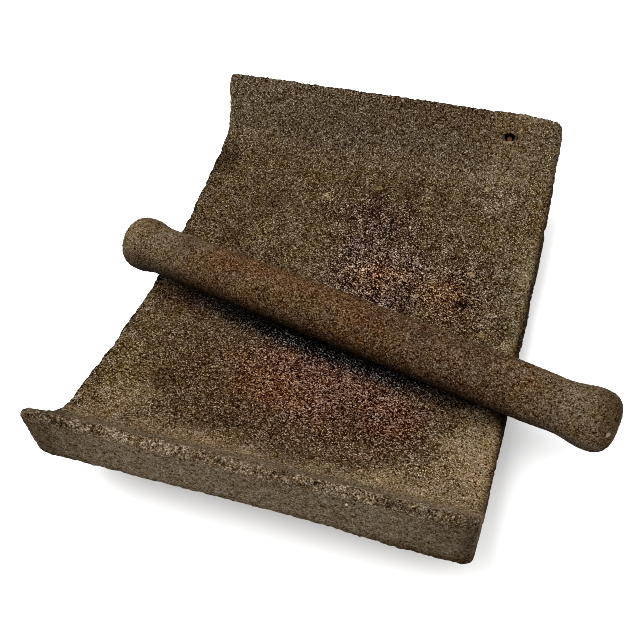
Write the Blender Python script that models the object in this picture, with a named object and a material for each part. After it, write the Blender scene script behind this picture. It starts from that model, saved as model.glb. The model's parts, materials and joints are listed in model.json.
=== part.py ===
"""Saddle quern: a stone slab with two turned-up lips, and the handstone lying across it.

Units are metres, +Z is up, X runs across the slab and Y runs from the near lip to the far lip.
The origin is the centre of the small worn flat on the underside, which the quern stands on.
"""

import math
from bisect import bisect_right

import bmesh
import bpy
from mathutils import Matrix, Vector

# Slab: overall form
SLAB_WIDTH = 0.320
NEAR_FACE_Y = -0.2075
FAR_FACE_Y = 0.2115
NEAR_RIM_HEIGHT = 0.1035
FAR_RIM_HEIGHT = 0.0995
FACE_HEIGHT = 0.061
NEAR_FACE_DEEPENING = 0.0070
DEEPENING_RUN = (0.030, 0.110)
FACE_UNDERCUT = 0.004
FACE_CORNER_BLEND = 0.010
UNDERSIDE_FLAT = 0.105

# Grinding surface: two lips and two ramps, blended into one sweep
LIP_MID_HEIGHT = 0.050
NEAR_LIP_MID_Y = -0.1689
FAR_LIP_MID_Y = 0.1839
NEAR_LIP_SLOPE = 1.73
FAR_LIP_SLOPE = 2.24
RAMP_FOOT_HEIGHT = 0.0215
NEAR_RAMP_SLOPE = 0.186
FAR_RAMP_SLOPE = 0.140
SWEEP_SOFTNESS = 0.010
CROSS_DISH = 0.0015

# Slab: edges and wear
SIDE_EDGE_RADIUS = 0.006
RIM_EDGE_RADIUS = 0.0028
THIN_EDGE_SHARE = 0.33
DEEPEST_CUT_SHARE = 0.44
RIGHT_SIDE_BOW = 0.0022
RIGHT_SIDE_DRAFT = 0.0025
LEFT_SIDE_FLARE = (0.0034, 0.0012)
NEAR_LEFT_WEAR = (0.0010, 0.016)
NEAR_RIGHT_WEAR = (0.0030, 0.060)
FAR_LEFT_WEAR = (0.0008, 0.012)
FAR_RIGHT_WEAR = (0.0045, 0.030)

# Natural hollow in the far lip
PIT_X = 0.1128
PIT_HEIGHT = 0.0795
PIT_SIZE = (0.0130, 0.0085, 0.0110)
PIT_RINGS = 7

# Handstone
KNOB_SPACING = 0.402
KNOB_RADIUS = 0.0238
NECK_RADIUS = 0.0206
BELLY_SWELL = 0.0013
BELLY_SHIFT = 0.35
LEFT_CAP_LENGTH = 0.0192
RIGHT_CAP_LENGTH = 0.0185
LEFT_FLANK_LENGTH = 0.019
RIGHT_FLANK_LENGTH = 0.024
CAP_ROUNDNESS = 2.8
HANDSTONE_X = 0.0249
HANDSTONE_Y = -0.0304
HANDSTONE_TURN = math.radians(-12.9)
RESTING_GAP = 0.0002

# Mesh fineness; sections crowd towards the lips, where the sweep bends most
LENGTH_STEPS = 46
LIP_CROWDING = 0.55
ACROSS_STEPS = 12
EDGE_STEPS = 3
CORNER_STEPS = 8
PATH_SAMPLES = 600
UNDERSIDE_SAMPLES = 150
SEARCH_STEPS = 50
SEAT_SAMPLES = 60
HANDSTONE_SIDES = 32
SHAFT_STEPS = 18
FLANK_STEPS = 5
CAP_STEPS = 7
SMOOTH_ANGLE = math.radians(40)


def clear_scene():
    for item in list(bpy.data.objects):
        bpy.data.objects.remove(item, do_unlink=True)


def stone_material(name, colour, roughness):
    material = bpy.data.materials.new(name)
    material.use_nodes = True
    shader = material.node_tree.nodes["Principled BSDF"]
    shader.inputs["Base Color"].default_value = (*colour, 1.0)
    shader.inputs["Roughness"].default_value = roughness
    shader.inputs["Metallic"].default_value = 0.0
    return material


def link_mesh(name, mesh, material):
    mesh.materials.append(material)
    mesh.shade_smooth()
    mesh.set_sharp_from_angle(angle=SMOOTH_ANGLE)
    item = bpy.data.objects.new(name, mesh)
    bpy.context.collection.objects.link(item)
    return item


class Path:
    """A line through (y, z) points, read by the share of its length."""

    def __init__(self, points):
        self.points = [Vector(point) for point in points]
        self.reach = [0.0]
        for start, end in zip(self.points, self.points[1:]):
            self.reach.append(self.reach[-1] + (end - start).length)
        self.length = self.reach[-1]

    def at(self, share):
        target = min(max(share, 0.0), 1.0) * self.length
        index = min(bisect_right(self.reach, target), len(self.points) - 1)
        start = self.reach[index - 1]
        blend = (target - start) / (self.reach[index] - start)
        return self.points[index - 1].lerp(self.points[index], blend)


def sweep_height(y):
    """Height of the grinding surface along the slab's sides."""
    runs = (
        LIP_MID_HEIGHT - NEAR_LIP_SLOPE * (y - NEAR_LIP_MID_Y),
        RAMP_FOOT_HEIGHT - NEAR_RAMP_SLOPE * y,
        RAMP_FOOT_HEIGHT + FAR_RAMP_SLOPE * y,
        LIP_MID_HEIGHT + FAR_LIP_SLOPE * (y - FAR_LIP_MID_Y),
    )
    highest = max(runs)
    total = sum(math.exp((run - highest) / SWEEP_SOFTNESS) for run in runs)
    return highest + SWEEP_SOFTNESS * math.log(total)


def sweep_y(height, low, high):
    """Where the sweep reaches a height, between a point below it and a point above it."""
    for _ in range(SEARCH_STEPS):
        middle = (low + high) / 2
        if sweep_height(middle) < height:
            low = middle
        else:
            high = middle
    return low


def inner_path():
    near = sweep_y(NEAR_RIM_HEIGHT, 0.0, NEAR_FACE_Y)
    far = sweep_y(FAR_RIM_HEIGHT, 0.0, FAR_FACE_Y)
    ys = [near + (far - near) * step / PATH_SAMPLES for step in range(PATH_SAMPLES + 1)]
    return Path([(y, sweep_height(y)) for y in ys])


def outer_half(face_y, rim_height, face_height):
    """Face of one lip, from its rim down round the lower corner to the underside's flat."""
    inward = -math.copysign(1.0, face_y)
    rim = Vector((face_y, rim_height))
    corner = Vector((face_y + inward * FACE_UNDERCUT, rim_height - face_height))
    flat_end = Vector((-inward * UNDERSIDE_FLAT / 2, 0.0))

    def underside(share):
        return Vector((corner.x + (flat_end.x - corner.x) * share, corner.y * (1 - share) ** 2))

    first_slope = Vector((flat_end.x - corner.x, 2 * corner.y))
    blend_share = FACE_CORNER_BLEND / first_slope.length
    above = corner + (rim - corner).normalized() * FACE_CORNER_BLEND
    below = underside(blend_share)
    points = [rim]
    for step in range(CORNER_STEPS + 1):
        share = step / CORNER_STEPS
        points.append(above.lerp(corner, share).lerp(corner.lerp(below, share), share))
    for step in range(1, UNDERSIDE_SAMPLES + 1):
        share = blend_share + (1 - blend_share) * step / UNDERSIDE_SAMPLES
        points.append(underside(share))
    return points


def outer_path(x):
    """Faces and underside at one station; the near face grows deeper towards the right."""
    start, end = DEEPENING_RUN
    share = min(max((x - start) / (end - start), 0.0), 1.0)
    deepening = NEAR_FACE_DEEPENING * share * share * (3 - 2 * share)
    near = outer_half(NEAR_FACE_Y, NEAR_RIM_HEIGHT, FACE_HEIGHT + deepening)
    far = outer_half(FAR_FACE_Y, FAR_RIM_HEIGHT, FACE_HEIGHT)
    return Path(near + far[::-1])


def corner_wear(x, side, wear):
    """How far a rim has worn down, x across the slab, towards the corner on one side."""
    depth, reach = wear
    distance = SLAB_WIDTH / 2 - side * x
    return depth * max(0.0, 1 - distance / reach) ** 2


def half_profile(x, inset, length):
    """(share along the slab, depth below its surface), from the near rim to the far rim."""
    start = inset + corner_wear(x, -1, NEAR_LEFT_WEAR) + corner_wear(x, 1, NEAR_RIGHT_WEAR)
    end = length - inset - corner_wear(x, -1, FAR_LEFT_WEAR) - corner_wear(x, 1, FAR_RIGHT_WEAR)
    arc = []
    for step in range(EDGE_STEPS):
        angle = math.pi / 2 * (1 - step / EDGE_STEPS)
        arc.append((RIM_EDGE_RADIUS * (1 - math.sin(angle)), RIM_EDGE_RADIUS * (1 - math.cos(angle))))
    run = []
    for step in range(LENGTH_STEPS + 1):
        share = step / LENGTH_STEPS
        share -= LIP_CROWDING * math.sin(2 * math.pi * share) / (2 * math.pi)
        run.append((start + RIM_EDGE_RADIUS + share * (end - start - 2 * RIM_EDGE_RADIUS), 0.0))
    near = [(start + along, depth) for along, depth in arc]
    far = [(end - along, depth) for along, depth in arc[::-1]]
    return [(along / length, depth) for along, depth in near + run + far]


def slab_stations():
    """(x, inset of the section) from the left side to the right one, with rounded edges."""
    edge = []
    for step in range(EDGE_STEPS):
        angle = math.pi / 2 * step / EDGE_STEPS
        inset = SIDE_EDGE_RADIUS * (1 - math.sin(angle))
        edge.append((SLAB_WIDTH / 2 - SIDE_EDGE_RADIUS * (1 - math.cos(angle)), inset))
    inner = SLAB_WIDTH / 2 - SIDE_EDGE_RADIUS
    middle = [(inner - 2 * inner * step / ACROSS_STEPS, 0.0) for step in range(ACROSS_STEPS + 1)]
    right_to_left = edge + middle + [(-x, inset) for x, inset in edge[::-1]]
    return right_to_left[::-1]


def side_shift(x, share, height_share):
    """How far a point moves sideways, because the slab's two long sides aren't quite straight."""
    side = 2 * x / SLAB_WIDTH
    if side > 0:
        return side * (RIGHT_SIDE_BOW * math.sin(math.pi * share) - RIGHT_SIDE_DRAFT * (1 - height_share))
    near_flare, far_flare = LEFT_SIDE_FLARE
    return side * (near_flare + (far_flare - near_flare) * share)


def slab_mesh():
    mesh = bmesh.new()
    inner = inner_path()
    length = inner.length
    sections = []
    for x, inset in slab_stations():
        outer = outer_path(x)
        dish = CROSS_DISH * (1 - (2 * x / SLAB_WIDTH) ** 2)
        upper = []
        lower = []
        for share, depth in half_profile(x, inset, length):
            top = inner.at(share)
            bottom = outer.at(share)
            thickness = (top - bottom).length
            rounding = min(inset / thickness, THIN_EDGE_SHARE * inset / SIDE_EDGE_RADIUS)
            sunk = min(rounding + depth / thickness, DEEPEST_CUT_SHARE)
            high = top.lerp(bottom, sunk)
            low = bottom.lerp(top, sunk)
            worn = dish * math.sin(math.pi * share)
            high_x = x + side_shift(x, share, 1 - sunk)
            low_x = x + side_shift(x, share, sunk)
            upper.append(mesh.verts.new((high_x, high.x, high.y - worn)))
            lower.append(mesh.verts.new((low_x, low.x, low.y)))
        sections.append(upper + lower[::-1])
    count = len(sections[0])
    for left, right in zip(sections, sections[1:]):
        for index in range(count):
            after = (index + 1) % count
            mesh.faces.new((left[index], right[index], right[after], left[after]))
    for index in range(count // 2 - 1):
        rung = (index, index + 1, count - 2 - index, count - 1 - index)
        mesh.faces.new([sections[0][place] for place in rung])
        mesh.faces.new([sections[-1][place] for place in rung[::-1]])
    data = bpy.data.meshes.new("quern_slab")
    mesh.to_mesh(data)
    mesh.free()
    return data


def pit_cutter():
    """Egg-shaped cutter that leans with the far lip."""
    mesh = bmesh.new()
    bmesh.ops.create_uvsphere(mesh, u_segments=2 * PIT_RINGS, v_segments=PIT_RINGS, radius=0.5)
    data = bpy.data.meshes.new("pit_cutter")
    mesh.to_mesh(data)
    mesh.free()
    y = sweep_y(PIT_HEIGHT, 0.0, FAR_FACE_Y)
    lean = math.atan(FAR_LIP_SLOPE)
    data.transform(Matrix.Diagonal((*PIT_SIZE, 1.0)))
    cutter = bpy.data.objects.new("pit_cutter", data)
    cutter.location = (PIT_X, y, PIT_HEIGHT)
    cutter.rotation_euler = (lean, 0.0, 0.0)
    cutter.hide_render = True
    cutter.display_type = "WIRE"
    bpy.context.collection.objects.link(cutter)
    return cutter


def build_slab(material):
    slab = link_mesh("quern_slab", slab_mesh(), material)
    cut = slab.modifiers.new("pit", "BOOLEAN")
    cut.operation = "DIFFERENCE"
    cut.object = pit_cutter()
    return slab


def knob_profile(flank_length, cap_length):
    """(distance from the middle, radius) from a knob's neck to just short of its tip."""
    half = KNOB_SPACING / 2
    points = []
    for step in range(FLANK_STEPS + 1):
        swing = (1 - math.cos(math.pi * step / FLANK_STEPS)) / 2
        place = half - flank_length * (1 - step / FLANK_STEPS)
        points.append((place, NECK_RADIUS + (KNOB_RADIUS - NECK_RADIUS) * swing))
    for step in range(1, CAP_STEPS):
        share = math.sin(math.pi / 2 * step / CAP_STEPS)
        radius = KNOB_RADIUS * (1 - share ** CAP_ROUNDNESS) ** (1 / CAP_ROUNDNESS)
        points.append((half + cap_length * share, radius))
    return points


def handstone_profile():
    """(distance from the middle, radius) along the whole handstone, left to right."""
    left = [(-place, radius) for place, radius in knob_profile(LEFT_FLANK_LENGTH, LEFT_CAP_LENGTH)]
    right = knob_profile(RIGHT_FLANK_LENGTH, RIGHT_CAP_LENGTH)
    start = left[0][0]
    belly = []
    for step in range(1, SHAFT_STEPS):
        share = step / SHAFT_STEPS
        swell = math.sqrt(math.sin(math.pi * share)) * (1 + BELLY_SHIFT * (2 * share - 1))
        place = start + (right[0][0] - start) * share
        belly.append((place, NECK_RADIUS + BELLY_SWELL * swell))
    return left[::-1] + belly + right


def handstone_mesh():
    mesh = bmesh.new()
    rings = []
    for place, radius in handstone_profile():
        ring = []
        for side in range(HANDSTONE_SIDES):
            angle = 2 * math.pi * side / HANDSTONE_SIDES
            ring.append(mesh.verts.new((place, radius * math.cos(angle), radius * math.sin(angle))))
        rings.append(ring)
    for left, right in zip(rings, rings[1:]):
        for side in range(HANDSTONE_SIDES):
            after = (side + 1) % HANDSTONE_SIDES
            mesh.faces.new((left[side], left[after], right[after], right[side]))
    left_tip = mesh.verts.new((-KNOB_SPACING / 2 - LEFT_CAP_LENGTH, 0.0, 0.0))
    right_tip = mesh.verts.new((KNOB_SPACING / 2 + RIGHT_CAP_LENGTH, 0.0, 0.0))
    for side in range(HANDSTONE_SIDES):
        after = (side + 1) % HANDSTONE_SIDES
        mesh.faces.new((left_tip, rings[0][after], rings[0][side]))
        mesh.faces.new((right_tip, rings[-1][side], rings[-1][after]))
    data = bpy.data.meshes.new("handstone")
    mesh.to_mesh(data)
    mesh.free()
    return data


def side_reach(x):
    """How far the slab reaches from its middle line, at mid length, on the side where x lies."""
    side = math.copysign(SLAB_WIDTH / 2, x)
    return abs(side + side_shift(side, 0.5, 1.0))


def axis_height(x, profile):
    """Lowest height of the handstone's axis over one line along the slab, with the resting gap."""
    axis_y = HANDSTONE_Y + (x - HANDSTONE_X) * math.tan(HANDSTONE_TURN)
    place = (x - HANDSTONE_X) / math.cos(HANDSTONE_TURN)
    after = next(index for index, point in enumerate(profile) if point[0] > place)
    (start, low), (end, high) = profile[after - 1], profile[after]
    radius = low + (high - low) * (place - start) / (end - start) + RESTING_GAP
    past_edge = max(0.0, abs(x) - (side_reach(x) - SIDE_EDGE_RADIUS))
    drop = SIDE_EDGE_RADIUS - math.sqrt(max(0.0, SIDE_EDGE_RADIUS ** 2 - past_edge ** 2))
    heights = []
    for step in range(-SEAT_SAMPLES, SEAT_SAMPLES + 1):
        share = step / SEAT_SAMPLES
        y = axis_y + share * radius / math.cos(HANDSTONE_TURN)
        heights.append(sweep_height(y) - drop + radius * math.sqrt(1 - share ** 2))
    return max(heights)


def resting_line():
    """(rise per metre of x, height at x = 0) of the axis, lying on both sides of the slab."""
    profile = handstone_profile()
    xs = [side_reach(step) * step / SEAT_SAMPLES for step in range(-SEAT_SAMPLES, SEAT_SAMPLES + 1)]
    needs = [(x, axis_height(x, profile)) for x in xs]
    left = needs[0]
    right = needs[-1]
    for _ in range(4):
        rise = (right[1] - left[1]) / (right[0] - left[0])
        left = max(needs[:SEAT_SAMPLES], key=lambda need: need[1] - rise * need[0])
        right = max(needs[SEAT_SAMPLES:], key=lambda need: need[1] - rise * need[0])
    rise = (right[1] - left[1]) / (right[0] - left[0])
    return rise, left[1] - rise * left[0]


def build_handstone(material):
    handstone = link_mesh("handstone", handstone_mesh(), material)
    rise, middle_height = resting_line()
    height = middle_height + rise * HANDSTONE_X
    pitch = -math.atan(rise * math.cos(HANDSTONE_TURN))
    handstone.location = (HANDSTONE_X, HANDSTONE_Y, height)
    handstone.rotation_euler = (0.0, pitch, HANDSTONE_TURN)
    return handstone


def main():
    clear_scene()
    slab_stone = stone_material("dark volcanic stone", (0.105, 0.080, 0.045), 0.92)
    hand_stone = stone_material("handled volcanic stone", (0.120, 0.088, 0.052), 0.80)
    build_slab(slab_stone)
    build_handstone(hand_stone)


main()
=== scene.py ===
import json
import math
import bpy
from mathutils import Matrix, Vector

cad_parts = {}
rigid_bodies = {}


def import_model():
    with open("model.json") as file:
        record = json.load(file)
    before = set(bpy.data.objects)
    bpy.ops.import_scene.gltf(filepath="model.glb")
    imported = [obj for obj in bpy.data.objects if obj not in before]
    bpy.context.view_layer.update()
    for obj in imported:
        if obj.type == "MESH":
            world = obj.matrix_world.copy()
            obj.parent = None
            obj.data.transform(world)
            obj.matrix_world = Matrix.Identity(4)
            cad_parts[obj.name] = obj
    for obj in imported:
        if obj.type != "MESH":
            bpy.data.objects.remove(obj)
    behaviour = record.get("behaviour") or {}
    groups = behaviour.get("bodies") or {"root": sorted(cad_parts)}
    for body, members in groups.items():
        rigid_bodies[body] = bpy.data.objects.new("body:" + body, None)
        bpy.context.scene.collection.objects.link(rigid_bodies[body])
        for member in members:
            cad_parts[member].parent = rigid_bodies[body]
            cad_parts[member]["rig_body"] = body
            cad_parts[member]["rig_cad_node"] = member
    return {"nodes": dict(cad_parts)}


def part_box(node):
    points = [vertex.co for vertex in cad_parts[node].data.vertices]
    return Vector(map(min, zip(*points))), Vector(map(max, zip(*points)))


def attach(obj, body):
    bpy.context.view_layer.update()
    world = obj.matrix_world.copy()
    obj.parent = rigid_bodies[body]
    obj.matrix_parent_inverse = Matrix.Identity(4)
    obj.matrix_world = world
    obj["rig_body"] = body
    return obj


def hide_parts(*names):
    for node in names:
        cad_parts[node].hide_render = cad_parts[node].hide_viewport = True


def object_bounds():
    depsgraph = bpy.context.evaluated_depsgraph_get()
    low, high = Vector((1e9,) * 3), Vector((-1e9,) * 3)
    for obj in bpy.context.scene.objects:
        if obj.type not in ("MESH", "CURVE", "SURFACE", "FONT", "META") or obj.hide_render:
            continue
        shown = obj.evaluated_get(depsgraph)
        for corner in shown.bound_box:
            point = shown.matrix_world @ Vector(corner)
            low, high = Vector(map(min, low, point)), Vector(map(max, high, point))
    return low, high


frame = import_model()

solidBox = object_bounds()                    # the CAD box, straight after loading
bpy.ops.object.select_all(action="DESELECT")
mm = 0.001


def linearColour(hexColour):
    channels = [int(hexColour[i:i + 2], 16) / 255 for i in (1, 3, 5)]
    return [c / 12.92 if c <= 0.04045 else ((c + 0.055) / 1.055) ** 2.4 for c in channels] + [1.0]


def pick(piece):
    bpy.ops.object.select_all(action="DESELECT")
    piece.select_set(True)
    bpy.context.view_layer.objects.active = piece


def eased(value, start, end):             # 0 at start, 1 at end, eased between them
    share = min(max((value - start) / (end - start), 0.0), 1.0)
    return share * share * (3 - 2 * share)


def applyModifier(piece, name, kind, **settings):
    modifier = piece.modifiers.new(name, kind)
    for key, value in settings.items():
        setattr(modifier, key, value)
    bpy.ops.object.modifier_apply(modifier=modifier.name)


def selectFaces(piece, chosen):           # leaves the piece in edit mode with those faces selected
    bpy.context.tool_settings.mesh_select_mode = (False, False, True)
    bpy.ops.object.mode_set(mode="EDIT")
    bpy.ops.mesh.select_all(action="DESELECT")
    bpy.ops.object.mode_set(mode="OBJECT")
    for face in piece.data.polygons:
        face.select = chosen(face.center, face.normal)
    bpy.ops.object.mode_set(mode="EDIT")


def splitFaces(piece, chosen):            # each of those faces in four
    selectFaces(piece, chosen)
    bpy.ops.mesh.subdivide(number_cuts=1)
    bpy.ops.object.mode_set(mode="OBJECT")


def weigh(piece, groupName, weightOf):    # a vertex group whose weights go by place
    group = piece.vertex_groups.new(name=groupName)
    for vertex in piece.data.vertices:
        weight = weightOf(vertex.co)
        if weight > 0.01:                 # less would do nothing
            group.add([vertex.index], weight, "REPLACE")


def copyOfSolid(nodeName, pieceName):
    pick(frame["nodes"][nodeName])
    bpy.ops.object.duplicate()
    piece = bpy.context.active_object
    bpy.ops.object.parent_clear(type="CLEAR_KEEP_TRANSFORM")
    piece.name = piece.data.name = pieceName
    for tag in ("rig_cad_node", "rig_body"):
        del piece[tag]                    # the copy is a new piece, not the CAD node
    bpy.ops.object.mode_set(mode="EDIT")
    bpy.ops.mesh.select_all(action="SELECT")
    bpy.ops.mesh.remove_doubles(threshold=0.01 * mm)
    bpy.ops.object.mode_set(mode="OBJECT")
    return piece


def roughen(piece, node, layers):
    # Every layer only takes stone away: its pattern is 1 where the surface stays, less in the hollows.
    before = [vertex.co.copy() for vertex in piece.data.vertices]
    for name, layer in layers.items():
        pattern = bpy.data.textures.new(name, "CLOUDS")
        pattern.noise_scale = layer["size"] * mm
        pattern.noise_basis = "ORIGINAL_PERLIN"
        pattern.noise_depth = layer.get("detail", 1)
        pattern.contrast = layer.get("contrast", 1.0)
        pattern.intensity = layer.get("level", 1.0)
        applyModifier(piece, name, "DISPLACE", texture=pattern, texture_coords="LOCAL",
                      strength=layer["depth"] * mm, mid_level=1.0, vertex_group=layer.get("group", ""))
    applyModifier(piece, "within the solid", "SHRINKWRAP", target=node, wrap_method="NEAREST_SURFACEPOINT",
                  wrap_mode="INSIDE")
    sunk = piece.data.attributes.new("hollow", "FLOAT", "POINT")      # mm sunk, for the painted shade in the hollows
    for vertex, start in zip(piece.data.vertices, before):
        sunk.data[vertex.index].value = (start - vertex.co).length / mm
    bpy.ops.object.shade_smooth()


slabShape = {
    "faceSize": 3.32,                     # mm, before the seen faces are split
    "seenDown": -0.35, "seenBack": 0.75,  # how far down or to the back a face may look and still be split
    "edgeBand": 8.0,                      # mm from the sides and the lower edges that is chipped and worn
    "rimBand": 6.0,                       # mm below the rims that is chipped and worn
    "pit": (112.8, 195.0, 79.5),          # mm, the small round hollow under the far rim
    "pitBand": 13.0,                      # mm round it that is split finer
    "pitKept": (7.2, 10.8),               # mm round it where the smoothing starts and is full
    "smoothing": 9, "edgeSmoothing": 2,   # passes
    "relief": {                           # mm across, mm deep
        "dressed waves": {"size": 42, "depth": 0.9, "detail": 2},
        "pecking": {"size": 7, "depth": 0.35, "detail": 1, "contrast": 1.4},
        "open pores": {"size": 3.0, "depth": 0.7, "contrast": 4.5, "level": 1.85},
        "notches": {"size": 24, "depth": 2.2, "contrast": 2.2, "level": 1.5, "group": "worn edges"},
        "chips": {"size": 8, "depth": 1.1, "contrast": 3.0, "level": 1.35, "group": "worn edges"},
        "crumbled edge": {"size": 3.4, "depth": 0.6, "contrast": 2.0, "level": 1.2, "group": "worn edges"},
    },
}


def buildSlab():
    values = slabShape
    low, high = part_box("quern_slab")
    node = frame["nodes"]["quern_slab"]
    slab = copyOfSolid("quern_slab", "quern_stone")
    applyModifier(slab, "even faces", "REMESH", mode="VOXEL", voxel_size=values["faceSize"] * mm)

    # Finer faces on all that is seen from above and in front, finest round the pit.
    pit = Vector(values["pit"]) * mm
    splitFaces(slab, lambda place, normal: normal.z > values["seenDown"] and normal.y < values["seenBack"])
    splitFaces(slab, lambda place, normal: (place - pit).length < values["pitBand"] * mm)
    applyModifier(slab, "back to the solid", "SHRINKWRAP", target=node, wrap_method="NEAREST_SURFACEPOINT")

    def edgeWeight(place):
        side = min(high.x - place.x, place.x - low.x)
        rim = high.z - place.z
        foot = max(place.z, min(place.y - low.y, high.y - place.y))
        return max(1 - eased(side, 0, values["edgeBand"] * mm),
                   1 - eased(rim, 0, values["rimBand"] * mm),
                   1 - eased(foot, 0, values["edgeBand"] * mm))

    def keptWeight(place):
        start, full = values["pitKept"]
        return max(edgeWeight(place), 1 - eased((place - pit).length, start * mm, full * mm))

    weigh(slab, "worn edges", edgeWeight)
    weigh(slab, "kept sharp", keptWeight)
    applyModifier(slab, "no facets", "SMOOTH", factor=0.5, iterations=values["smoothing"],
                  vertex_group="kept sharp", invert_vertex_group=True)
    applyModifier(slab, "eased edges", "SMOOTH", factor=0.5, iterations=values["edgeSmoothing"],
                  vertex_group="worn edges")
    roughen(slab, node, values["relief"])
    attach(slab, "root")
    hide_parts("quern_slab")
    print("slab:", len(slab.data.polygons), "faces")
    return slab


handstoneShape = {
    "faceSize": 0.95,                     # mm
    "smoothing": 14,                      # passes
    "relief": {                           # mm across, mm deep
        "hand wear": {"size": 30, "depth": 0.5, "detail": 1},
        "pecking": {"size": 6, "depth": 0.2, "contrast": 1.4},
        "open pores": {"size": 2.2, "depth": 0.3, "contrast": 4.5, "level": 1.85},
    },
}


def buildHandstone():
    values = handstoneShape
    node = frame["nodes"]["handstone"]
    stone = copyOfSolid("handstone", "rubbing_stone")
    applyModifier(stone, "even faces", "REMESH", mode="VOXEL", voxel_size=values["faceSize"] * mm)
    applyModifier(stone, "back to the solid", "SHRINKWRAP", target=node, wrap_method="NEAREST_SURFACEPOINT")
    applyModifier(stone, "no facets", "SMOOTH", factor=0.5, iterations=values["smoothing"])
    roughen(stone, node, values["relief"])
    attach(stone, "root")
    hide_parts("handstone")
    print("handstone:", len(stone.data.polygons), "faces")
    return stone


def addNode(tree, kind, settings=None, inputs=None):      # an input is a value, or a node or socket to link
    node = tree.nodes.new("ShaderNode" + kind)
    for key, value in (settings or {}).items():
        if key == "stops":
            while len(node.color_ramp.elements) < len(value):
                node.color_ramp.elements.new(1.0)
            for element, (place, colour) in zip(node.color_ramp.elements, value):
                element.position, element.color = place, linearColour(colour)
        else:
            setattr(node, key, value)
    for key, value in (inputs or {}).items():
        if isinstance(value, bpy.types.Node):
            value = value.outputs[2 if value.bl_idname == "ShaderNodeMix" else 0]    # 2 is a Mix node's colour
        if isinstance(value, bpy.types.NodeSocket):
            tree.links.new(value, node.inputs[key])
        else:
            node.inputs[key].default_value = value
    return node


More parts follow.
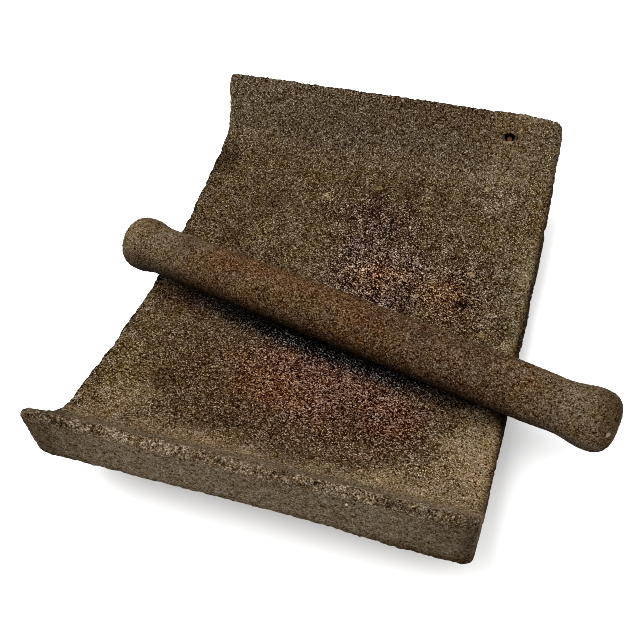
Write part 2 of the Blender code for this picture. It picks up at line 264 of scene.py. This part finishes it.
def stoneMaterial(values):
    material = bpy.data.materials.new(values["name"])
    material.use_nodes = True
    tree = material.node_tree
    tree.nodes.clear()
    coordinate = addNode(tree, "TexCoord")
    place = addNode(tree, "VectorMath", {"operation": "SCALE"},
                    {0: coordinate.outputs["Object"], "Scale": 1 / mm})
    axes = addNode(tree, "SeparateXYZ", inputs={0: place})
    grain = addNode(tree, "TexVoronoi", inputs={"Vector": place, "Scale": 1 / values["grain"]})
    speck = addNode(tree, "TexVoronoi", inputs={"Vector": place, "Scale": 1 / values["speck"]})
    clot = addNode(tree, "TexNoise", inputs={"Vector": place, "Scale": 1 / values["clot"], "Detail": 1.0})
    cloud = addNode(tree, "TexNoise", inputs={"Vector": place, "Scale": 1 / values["cloud"], "Detail": 2.0})
    wander = addNode(tree, "TexNoise",
                     inputs={"Vector": place, "Scale": 1 / values["wanderSize"], "Detail": 2.0})

    # The layers of the grain, each taken to swing round 0. A pore is the gap between two grains.
    layers = {"grain": (addNode(tree, "SeparateColor", inputs={0: grain.outputs["Color"]}), 0.5),
              "pore": (grain, 0.47),
              "speck": (addNode(tree, "SeparateColor", inputs={0: speck.outputs["Color"]}), 0.5),
              "clot": (clot, 0.5), "cloud": (cloud, 0.5)}
    for name, (layer, middle) in layers.items():
        layers[name] = addNode(tree, "Math", {"operation": "SUBTRACT"}, {0: layer, 1: middle})

    def strayed(start, pattern, amount):                      # a place moved sideways by up to half the amount
        swing = addNode(tree, "VectorMath", {"operation": "SUBTRACT"},
                        {0: pattern.outputs["Color"], 1: (0.5, 0.5, 0.5)})
        return addNode(tree, "VectorMath", {"operation": "MULTIPLY_ADD"},
                       {0: swing, 1: (amount, amount, 0), 2: start})

    def blend(mask, under, over, kind="MIX"):                 # a Mix node's inputs 6 and 7 are its colours
        return addNode(tree, "Mix", {"data_type": "RGBA", "blend_type": kind}, {0: mask, 6: under, 7: over})

    borders = {"exact": place}
    for border in ("wandering", "steady"):
        wide, fine = values[border]
        borders[border] = strayed(strayed(place, wander, wide), grain, fine)

    def maskOf(places, border):                               # ellipses, the same at any height
        mask = None
        for centre, radii, turn, softness in places:
            inside = addNode(tree, "Mapping", {"vector_type": "TEXTURE"},
                             {"Vector": borders[border], "Location": (*centre, 0),
                              "Rotation": (0, 0, math.radians(turn)), "Scale": (*radii, 1e4)})
            inside = addNode(tree, "TexGradient", {"gradient_type": "SPHERICAL"}, {0: inside})
            inside = addNode(tree, "MapRange", {"interpolation_type": "SMOOTHSTEP"},
                             {0: inside.outputs["Fac"], 2: softness})
            mask = addNode(tree, "Math", {"operation": "MAXIMUM"}, {0: mask, 1: inside}) if mask else inside
        return mask

    def between(socket, limits):                              # 0 at the first limit, 1 at the second
        return addNode(tree, "MapRange", inputs={0: socket, 1: limits[0], 2: limits[1]})

    def outsideMask():                    # the upright faces, and all that looks down
        facing = addNode(tree, "SeparateXYZ", inputs={0: coordinate.outputs["Normal"]})
        aside = addNode(tree, "Math", {"operation": "ABSOLUTE"}, {0: facing.outputs["X"]})
        mask = between(axes.outputs["Y"], values["nearFace"])
        for other in (between(facing.outputs["Y"], values["looksBack"]),
                      between(facing.outputs["Z"], values["looksDown"]),
                      between(aside, values["looksAside"])):
            mask = addNode(tree, "Math", {"operation": "MAXIMUM"}, {0: mask, 1: other})
        return mask

    def rimMask():                        # the crest of the near lip
        frayed = addNode(tree, "Math", {"operation": "MULTIPLY_ADD"},
                         {0: clot, 1: values["rimFray"], 2: axes.outputs["Z"]})
        high = between(frayed, values["rimHeight"])
        near = between(axes.outputs["Y"], values["rimPlace"])
        return addNode(tree, "Math", {"operation": "MULTIPLY"}, {0: high, 1: near})

    colour = height = None
    for ground in values["grounds"].values():
        tone = 0.5
        for name, layer in layers.items():
            amount = ground["tones"][name] * (-1 if name == "pore" else 1)
            tone = addNode(tree, "Math", {"operation": "MULTIPLY_ADD"}, {0: layer, 1: amount, 2: tone})
        stone = addNode(tree, "ValToRGB", {"stops": ground["stops"]}, {0: tone})
        if "relief" in ground:
            tone = addNode(tree, "Math", {"operation": "MULTIPLY"}, {0: tone, 1: ground["relief"]})
        if colour is None:
            colour, height = stone, tone
            continue
        if ground.get("lies") == "outside":
            mask = outsideMask()
        elif ground.get("lies") == "rim":
            mask = rimMask()
        else:
            mask = maskOf(ground["places"], ground.get("border", "wandering"))
        colour = blend(mask, colour, stone)
        height = blend(mask, height, tone)
    for tint, gain, places in values["stains"].values():
        tint = [gain * part for part in linearColour(tint)]
        colour = blend(maskOf(places, "steady"), colour, tint, "MULTIPLY")
    # Darker towards the bottom; on the handstone this is painted shade on its lower side.
    foot = values["foot"]
    mask = addNode(tree, "SeparateXYZ", inputs={0: borders["steady"]})
    mask = between(mask.outputs["Z"], foot["between"])
    if foot["outsideOnly"]:
        mask = addNode(tree, "Math", {"operation": "MULTIPLY"}, {0: mask, 1: outsideMask()})
    colour = blend(mask, colour, linearColour(foot["tint"]), "MULTIPLY")
    for paint, centre, radius in values["spots"]:
        away = addNode(tree, "VectorMath", {"operation": "DISTANCE"}, {0: place, 1: centre})
        mask = between(away.outputs["Value"], (radius, 0.8 * radius))    # its outer fifth fades
        colour = blend(mask, colour, linearColour(paint))

    # The hue and its strength drift a little from cloud to cloud, and painted shade darkens the deep hollows.
    drift = addNode(tree, "SeparateColor", inputs={0: cloud.outputs["Color"]})

    def drifting(channel, middle, spread):                    # a cloud's values lie mostly from 0.3 to 0.7
        return addNode(tree, "MapRange", inputs={0: drift.outputs[channel], 1: 0.3, 2: 0.7,
                                                 3: middle - spread, 4: middle + spread})

    colour = addNode(tree, "HueSaturation",
                     inputs={"Color": colour, "Hue": drifting(1, 0.5, values["hueSpread"]),
                             "Saturation": drifting(2, 1.0, values["strengthSpread"])})
    hollow = addNode(tree, "Attribute", {"attribute_name": "hollow"})
    start, full = values["hollowShadeDepth"]
    hollow = addNode(tree, "MapRange", inputs={0: hollow.outputs["Fac"], 1: start, 2: full, 3: 1.0,
                                               4: values["hollowShadeLevel"]})
    colour = addNode(tree, "VectorMath", {"operation": "SCALE"}, {0: colour, "Scale": hollow})

    bump = addNode(tree, "Bump", inputs={"Strength": 1.0, "Distance": values["bump"] * mm, "Height": height})
    shader = addNode(tree, "BsdfPrincipled",
                     inputs={"Base Color": colour, "Normal": bump, "Roughness": values["roughness"],
                             "Specular IOR Level": values["specular"]})
    addNode(tree, "OutputMaterial", inputs={"Surface": shader})
    return material


# How much each layer of the grain counts for in a ground's tone
peckedTones = {"grain": 0.55, "pore": 0.5, "speck": 0.3, "clot": 0.15, "cloud": 0.1}
mottledTones = {"grain": 0.55, "pore": 0.5, "speck": 0.3, "clot": 0.15, "cloud": 0.3}
evenTones = {"grain": 0.55, "pore": 0.5, "speck": 0.3, "clot": 0.04, "cloud": 0.0}
outerTones = {"grain": 0.35, "pore": 0.35, "speck": 0.25, "clot": 0.45, "cloud": 0.25}
crumbledTones = {"grain": 0.5, "pore": 0.5, "speck": 0.3, "clot": 0.7, "cloud": 0.4}

# Vesicular andesite, pecked to shape and then ground by use: crystals and pores of 1 to 2 mm, so the eye
# reads a coarse salt and pepper, rusty and dark with grease where food was ground, paler towards the borders.
# A place is its centre and radii (mm), its turn (degrees) and how softly it ends.
slabFinish = {
    "name": "vesicular andesite, pecked and ground",
    "grain": 1.0, "speck": 0.7, "clot": 3.0, "cloud": 12.0, "wanderSize": 24.0,     # mm across
    "wandering": (44.0, 12.0), "steady": (8.0, 8.0),      # mm that a border strays, and frays by the grain
    "hueSpread": 0.005, "strengthSpread": 0.1,
    "bump": 0.25,                         # mm, height of a grain over its pores
    "hollowShadeDepth": (0.9, 2.2), "hollowShadeLevel": 0.45,           # mm sunk where the painted shade in the hollows starts and is full, and its darkness
    "roughness": 0.93, "specular": 0.03,
    "nearFace": (-198.0, -203.0),         # mm, where the near face takes over from the lip
    "looksBack": (0.6, 0.9), "looksDown": (0.0, -0.4), "looksAside": (0.7, 0.95),   # turned as an outer face is
    "rimHeight": (101.0, 104.0), "rimPlace": (-190.0, -195.0), "rimFray": 10.0,     # mm, the near lip's crest
    "grounds": {                          # from the bottom to the top
        "olive floor": {
            "tones": mottledTones,
            "stops": [(0.11, "#110402"), (0.214, "#2a1806"), (0.327, "#403219"), (0.475, "#4f432c"),
                      (0.62, "#655646"), (0.734, "#796d5d"), (0.827, "#897f6b"), (0.925, "#a69c90")],
        },
        "back lip": {
            "tones": evenTones,
            "stops": [(0.11, "#271202"), (0.214, "#2f1e0a"), (0.327, "#473a24"), (0.475, "#584e3e"),
                      (0.62, "#726656"), (0.734, "#797265"), (0.827, "#8c8175"), (0.925, "#b9b0a0")],
            "relief": 0.6,
            "places": [((0, 215), (330, 60), 0, 0.4)],
        },
        "pale borders": {
            "tones": evenTones,
            "stops": [(0.11, "#190704"), (0.214, "#503b1b"), (0.327, "#6b573b"), (0.475, "#796d56"),
                      (0.62, "#817062"), (0.734, "#8f8570"), (0.827, "#9e8f7b"), (0.925, "#b2a495")],
            "places": [((20, -198), (330, 66), 0, 0.6), ((168, -122), (60, 54), 0, 0.5),
                       ((-124, -138), (30, 38), 0, 1.5), ((156, 72), (36, 70), 0, 1.2),
                       ((150, 5), (24, 34), 0, 1.2), ((118, 192), (52, 24), 0, 1.3)],
        },
        "dark halo": {
            "tones": evenTones,
            "stops": [(0.11, "#110302"), (0.214, "#271002"), (0.327, "#382610"), (0.475, "#483924"),
                      (0.62, "#5d4e3e"), (0.734, "#78695e"), (0.827, "#847a6c"), (0.925, "#ad9f94")],
            "places": [((-5, -98), (150, 86), -6, 0.5)],
        },
        "speckled dark": {
            "tones": mottledTones,
            "stops": [(0.11, "#020202"), (0.214, "#0b0202"), (0.327, "#1e0c02"), (0.475, "#342111"),
                      (0.62, "#5e4d3d"), (0.734, "#827463"), (0.827, "#aa9b8a"), (0.925, "#cfbfad")],
            "places": [((15, 108), (86, 50), -5, 1.2)],
        },
        "far rust": {
            "tones": mottledTones,
            "stops": [(0.11, "#030202"), (0.214, "#0e0202"), (0.327, "#210d03"), (0.475, "#423022"),
                      (0.62, "#6f5e51"), (0.734, "#8e8177"), (0.827, "#a2978a"), (0.925, "#bdb0ae")],
            "places": [((30, 48), (66, 64), -8, 0.6), ((100, 45), (56, 78), 10, 1.2)],
        },
        "near rust": {
            "tones": peckedTones,
            "stops": [(0.11, "#160202"), (0.214, "#120202"), (0.327, "#2c0e03"), (0.475, "#523724"),
                      (0.62, "#766051"), (0.734, "#8b796c"), (0.827, "#99857a"), (0.925, "#b1a297")],
            "places": [((20, -84), (104, 54), -11, 0.6), ((78, -98), (46, 44), 0, 0.8)],
        },
        # painted shade: the handstone's shadow on the slab, a dark ground with a few pale specks
        "soot along the handstone": {
            "tones": peckedTones,
            "stops": [(0.11, "#020202"), (0.214, "#030202"), (0.327, "#0b0202"), (0.475, "#0a0703"),
                      (0.62, "#3b3431"), (0.734, "#9b9690"), (0.827, "#ad9f92"), (0.925, "#d6d8d4")],
            "border": "steady",
            "places": [((0, -43), (178, 17), -13, 0.8)],
        },
        "pale inclusions": {
            "tones": peckedTones,
            "stops": [(0.2, "#564838"), (0.5, "#7c6c54"), (0.8, "#a49074")],
            "border": "exact",
            "places": [((4, 145), (4.5, 3.2), 20, 0.5), ((102, 164), (4, 3), 0, 0.5),
                       ((-42, 127), (3.5, 2.8), 0, 0.5), ((107, 67), (4.5, 3.2), -20, 0.5),
                       ((127, 5), (4, 3), 0, 0.5), ((52, 130), (5, 4), 0, 1.2)],
        },
        "sooty edges": {
            "tones": peckedTones,
            "stops": [(0.11, "#020202"), (0.214, "#030202"), (0.327, "#070504"), (0.475, "#1d1711"),
                      (0.62, "#382e23"), (0.734, "#574939"), (0.827, "#655643"), (0.925, "#786a58")],
            "border": "steady",
            "places": [((-172, 120), (22, 84), 0, 0.8), ((-172, -30), (22, 32), 0, 0.8),
                       ((-176, -190), (30, 40), 0, 0.8), ((-174, -100), (20, 40), 0, 1.2),
                       ((172, -80), (14, 60), 0, 1.0), ((172, -180), (14, 30), 0, 0.9)],
        },
        # painted shade: a thin dark line along the side edges and the far crest, at the outline
        "greasy arris": {
            "tones": peckedTones,
            "stops": [(0.2, "#060504"), (0.5, "#16120e"), (0.8, "#3a3228")],
            "border": "steady",
            "places": [((-163, -30), (7, 300), 0, 0.8), ((163, 0), (6, 330), 0, 0.7),
                       ((0, 211), (500, 4.5), 0, 0.9)],
        },
        "outer faces": {
            "tones": outerTones,
            "stops": [(0.205, "#2e2413"), (0.29, "#4a3d29"), (0.377, "#544736"), (0.482, "#5f5649"),
                      (0.586, "#6b6152"), (0.673, "#71685b"), (0.748, "#7e7468"), (0.831, "#727679")],
            "relief": 0.35,
            "lies": "outside",
        },
        "crumbled rim": {
            "tones": crumbledTones,
            "stops": [(0.137, "#2a1a0a"), (0.248, "#443727"), (0.355, "#564632"), (0.48, "#5f5748"),
                      (0.605, "#736757"), (0.711, "#7d7468"), (0.804, "#958b7a"), (0.915, "#9d9083")],
            "lies": "rim",
        },
    },
    "stains": {                           # broad and faint, over the grounds: a tint, its gain and its places
        "left side, darker": ("#e6e4e2", 1.0, [
            ((-172, -195), (60, 50), 0, 0.8), ((-172, 120), (50, 120), 0, 0.8),
            ((-150, 155), (30, 26), 0, 0.8), ((-155, -188), (34, 24), 0, 0.8)]),
        "left parts of the lips, darker": ("#f0eeec", 1.0, [
            ((-95, -168), (70, 20), 0, 0.8), ((-70, 178), (100, 26), 0, 0.8)]),
        "near slope, greyer": ("#f6f8f6", 1.0, [((0, -182), (210, 17), 0, 0.6)]),
        "pale patches": ("#fdfdff", 1.2, [
            ((135, -182), (50, 22), 0, 0.8), ((40, -138), (40, 16), 0, 0.9), ((76, -84), (30, 18), 0, 0.9),
            ((-30, -62), (24, 12), -12, 0.9), ((108, 152), (48, 26), 0, 0.9),
            ((-30, 122), (16, 14), 0, 0.8), ((122, -150), (20, 12), 0, 0.8)]),
        "small pale patches": ("#fcfcfc", 1.25, [
            ((150, 143), (20, 22), 0, 0.9), ((137, 118), (16, 16), 0, 0.9), ((113, -142), (20, 12), 0, 0.9),
            ((-146, -91), (12, 14), 0, 0.9), ((29, 51), (16, 12), 0, 0.9), ((144, 172), (12, 12), 0, 0.9),
            ((153, 190), (12, 10), 0, 0.9), ((158, 1), (8, 12), 0, 0.9), ((101, 27), (6, 5), 0, 0.6),
            ((-136, -115), (12, 10), 0, 0.9)]),
        "pale patch of the near right": ("#fcfcfc", 1.2, [((112, -144), (14, 9), 0, 0.9)]),
        "faintly pale patches": ("#f8f8fc", 1.05, [
            ((92, -90), (18, 14), 0, 0.9), ((-90, -150), (24, 14), 0, 0.9), ((122, -150), (20, 12), 0, 0.8),
            ((-150, 6), (14, 14), 0, 0.8)]),
        "left of the near rust, more orange": ("#fffbf0", 1.0, [((-52, -88), (62, 34), -8, 0.8)]),
        # painted shade: the cool grey of the handstone's shadow on the slab
        "greyish beside the soot": ("#e6e2f6", 1.12, [
            ((60, -52), (40, 14), -13, 0.9), ((-112, -22), (30, 12), -13, 0.9)]),
        "along the soot, greyer": ("#faf9ff", 1.02, [((10, -46), (150, 16), -12.4, 0.8)]),
        "far right, greyer": ("#f2f8ff", 1.13, [((122, 154), (40, 36), 0, 0.9)]),
        # redder, at the left end of the painted shade in front of the handstone
        "left of the soot, redder": ("#fff2f0", 1.0, [((-128, -24), (34, 14), -13, 0.8)]),
        # partly painted shade: the band turned with the handstone lies in its shadow, and the long thin one is
        # a dark line at the right edge's outline
        "faint dark patches": ("#ebe8e6", 1.0, [
            ((-135, -20), (36, 16), -13, 0.9), ((-90, 112), (60, 46), 0, 0.9),
            ((56, -112), (40, 20), 0, 0.9), ((164, 20), (7, 330), 0, 0.6)]),
        "right border, less red": ("#f4fcff", 1.0, [((150, 60), (24, 90), 0, 0.8)]),
        # mostly painted shade, where the handstone's shadow falls on the slab and where it meets the right edge
        "dark patches beside the handstone": ("#d8d4d0", 1.0, [
            ((118, -70), (24, 14), 0, 0.8), ((158, -78), (12, 18), 0, 0.6),
            ((-132, -57), (12, 12), 0, 0.8)]),
        "black clot": ("#706860", 1.0, [((105, 33), (7, 5.5), 0, 0.4)]),
        "near left, yellower": ("#fffff2", 1.0, [((-124, -108), (46, 44), 0, 0.8)]),
        # partly painted shade: the thin bands turned with the handstone and the one at its right end lie in its
        # shadow
        "darkest patches": ("#ccc8c4", 1.0, [
            ((-152, -190), (26, 22), 0, 0.9), ((-150, 152), (16, 16), 0, 0.8),
            ((-120, -14), (20, 12), 0, 0.9), ((-66, -29), (60, 9), -13, 0.9),
            ((-119, -19), (16, 10), -13, 0.9), ((132, -67), (16, 8), -13, 0.9),
            ((157, -204), (10, 10), 0, 0.6), ((159, -70), (9, 22), 0, 0.6)]),
        # painted shade: the darkest line of the handstone's shadow along where it rests
        "grease under the handstone": ("#a8a098", 1.0, [((4, -36), (190, 10), -12.4, 0.8)]),
        "rustiest places": ("#fff0da", 1.24, [((28, 48), (54, 34), 0, 1.2), ((88, 40), (40, 28), 0, 1.0)]),
        "rusty places, more orange": ("#fff8ea", 1.0, [
            ((-25, -100), (60, 34), 0, 0.9), ((105, 14), (30, 20), 0, 0.9)]),
        "far lip, browner": ("#f8f2ec", 1.0, [((60, 204), (120, 14), 0, 0.7)]),
        "far half, greyer": ("#f2f0f8", 1.0, [
            ((8, 112), (66, 34), 0, 0.9), ((-88, 108), (26, 18), 0, 0.9)]),
        "dark patches": ("#dedbd8", 1.0, [
            ((-115, 72), (20, 18), 0, 0.6), ((8, 140), (12, 34), 20, 0.8), ((35, 150), (16, 16), 0, 0.5),
            ((0, 76), (16, 14), 0, 0.6), ((120, 75), (16, 14), 0, 0.7), ((-100, -112), (22, 18), 0, 0.7),
            ((-40, -142), (26, 12), 0, 0.7), ((20, -156), (30, 12), 0, 0.7), ((60, 30), (22, 14), 0, 0.8)]),
        "ends of the near face": ("#e2e0de", 1.0, [
            ((-150, -215), (70, 22), 0, 0.8), ((150, -215), (60, 22), 0, 0.8)]),
        "shade along the handstone": ("#e0e0e0", 1.0, [((0, -40), (210, 20), -13.2, 0.8)]),
    },
    "foot": {"tint": "#b2a89e", "between": (58.0, 42.0), "outsideOnly": True},      # lower edges, heights in mm
    "spots": [                            # painted: colour, centre and radius in mm
        ("#0b0603", (112.6, 201.2, 77.5), 5.2),           # the shade in the small hollow
        ("#7a5636", (112.8, 200.6, 75.7), 2.5),           # its rusty inside
        ("#8f7e66", (109.0, 195.6, 75.4), 1.6), ("#8f7e66", (111.3, 196.6, 74.6), 1.9),     # its pale lip
        ("#8f7e66", (113.4, 196.8, 74.8), 1.9), ("#8f7e66", (115.2, 196.9, 75.2), 1.4),
        ("#b4a898", (74.5, -206.0, 90.0), 1.2),           # a pale spot in the near face
    ],
}

# The same stone, rubbed smooth by hands: the eye reads a closer, duller grain, rusty brown from use on the
# top, and paler and greyer at the ends.
handstoneFinish = {
    "name": "vesicular andesite, rubbed by hand",
    "grain": 1.0, "speck": 0.7, "clot": 2.6, "cloud": 12.0, "wanderSize": 24.0,     # mm across
    "wandering": (30.0, 10.0), "steady": (8.0, 8.0),
    "hueSpread": 0.005, "strengthSpread": 0.1,
    "bump": 0.15,                         # mm
    # painted shade in the deep hollows, as on the slab
    "hollowShadeDepth": (0.9, 2.2), "hollowShadeLevel": 0.45,
    "roughness": 0.85, "specular": 0.05,
    "grounds": {
        "rusty brown": {
            "tones": peckedTones,
            "stops": [(0.11, "#1f0602"), (0.214, "#2e1904"), (0.327, "#442c17"), (0.475, "#543f29"),
                      (0.62, "#63513e"), (0.734, "#6f604f"), (0.827, "#70614a"), (0.925, "#988376")],
        },
        "brown": {
            "tones": peckedTones,
            "stops": [(0.11, "#210d02"), (0.214, "#321f0c"), (0.327, "#44311d"), (0.475, "#4f4230"),
                      (0.62, "#605144"), (0.734, "#6c6051"), (0.827, "#766d63"), (0.925, "#98867b")],
            "places": [((150, -52), (130, 90), -13, 0.9)],
        },
        "grey ends": {
            "tones": peckedTones,
            "stops": [(0.11, "#1d0c02"), (0.214, "#382512"), (0.327, "#4f442e"), (0.475, "#5b4f3f"),
                      (0.62, "#665c4e"), (0.734, "#726857"), (0.827, "#726960"), (0.925, "#8f8779")],
            "places": [((225, -72), (58, 60), -13, 0.5), ((-182, 26), (104, 66), -13, 0.6)],
        },
    },
    "stains": {
        "right end, darker": ("#dcd2c8", 1.0, [((242, -78), (24, 50), 0, 0.6)]),
        "necks of the knobs, paler": ("#fffaf4", 1.1, [
            ((-172, 12), (34, 24), -13, 0.9), ((168, -66), (26, 20), -13, 0.9)]),
        "redder patches": ("#fff4ec", 1.0, [
            ((62, -12), (44, 14), -13, 0.9), ((-110, 26), (30, 10), -13, 0.9)]),
        "middle, less red": ("#f6ffff", 1.04, [((-40, -30), (130, 12), -13, 0.9)]),
        "dark patches": ("#e4e2e0", 1.0, [((-124, 6), (16, 16), 0, 0.9), ((70, -40), (60, 8), -13, 0.9)]),
    },
    # painted shade: the lower side of the handstone, darker and greyer downwards
    "foot": {"tint": "#7a7a80", "between": (62.0, 40.0), "outsideOnly": False},
    "spots": [("#867c6e", (231.8, -93.8, 67.2), 2.4)],    # a pale chip on the right knob, with a painted highlight on it
}

studio = {
    "floorColour": "#f4f4f4", "floorSize": 12,            # metres
    "floorGlow": 0.12,                    # a lit floor under the object, so its shadows stay pale
    "worldColour": "#ffffff", "worldStrength": 0.85,
    "look": "High Contrast",              # deep contact shadows and a floor that reads white
    "filter": 0.9,                        # a crisp film
    "softBox": {"place": (-1.2, -0.1, 1.85), "size": 2.4, "watts": 42.0},           # metres
    "aim": (-0.0237, -0.0325, -0.0018),   # where the camera looks, from the middle of the object
    "distance": 0.7368, "azimuth": 20.22, "elevation": 49.65, "roll": -4.15,
    "lens": 51.21, "sensor": 36,          # mm
}


def buildStudio():
    middle = (solidBox[0] + solidBox[1]) / 2
    bpy.ops.mesh.primitive_plane_add(size=studio["floorSize"])
    floor = bpy.context.active_object
    floor.name = "floor"
    pale = bpy.data.materials.new("matt pale floor")
    pale.use_nodes = True
    sockets = pale.node_tree.nodes["Principled BSDF"].inputs
    sockets["Base Color"].default_value = linearColour(studio["floorColour"])
    sockets["Roughness"].default_value = 1.0
    sockets["Specular IOR Level"].default_value = 0.0
    sockets["Emission Color"].default_value = linearColour(studio["worldColour"])
    sockets["Emission Strength"].default_value = studio["floorGlow"]
    floor.data.materials.append(pale)

    world = bpy.data.worlds.new("studio")
    world.use_nodes = True
    sky = world.node_tree.nodes["Background"].inputs
    sky["Color"].default_value = linearColour(studio["worldColour"])
    sky["Strength"].default_value = studio["worldStrength"]
    bpy.context.scene.world = world
    softBox = studio["softBox"]
    bpy.ops.object.light_add(type="AREA", location=softBox["place"])
    light = bpy.context.active_object
    light.name = "soft box from the left"
    light.data.size = softBox["size"]
    light.data.energy = softBox["watts"]
    light.rotation_euler = (middle - Vector(softBox["place"])).to_track_quat("-Z", "Y").to_euler()

    turn = (Matrix.Rotation(math.radians(studio["azimuth"]), 3, "Z")
            @ Matrix.Rotation(math.radians(90 - studio["elevation"]), 3, "X")
            @ Matrix.Rotation(math.radians(studio["roll"]), 3, "Z"))
    target = middle + Vector(studio["aim"])
    bpy.ops.object.camera_add(location=target + turn @ Vector((0, 0, studio["distance"])),
                              rotation=turn.to_euler())
    camera = bpy.context.active_object
    camera.data.lens = studio["lens"]
    camera.data.sensor_width = studio["sensor"]
    camera.data.clip_start = 0.01         # metres
    bpy.context.scene.camera = camera
    bpy.context.scene.view_settings.view_transform = "Standard"
    bpy.context.scene.view_settings.look = studio["look"]
    bpy.context.scene.cycles.filter_width = studio["filter"]
    bpy.context.scene.cycles.denoising_prefilter = "NONE"      # keeps the finest grain
    print("studio ready")


slab = buildSlab()
handstone = buildHandstone()
for piece, finish in ((slab, slabFinish), (handstone, handstoneFinish)):
    piece.data.materials.clear()
    piece.data.materials.append(stoneMaterial(finish))
print("materials ready")
buildStudio()
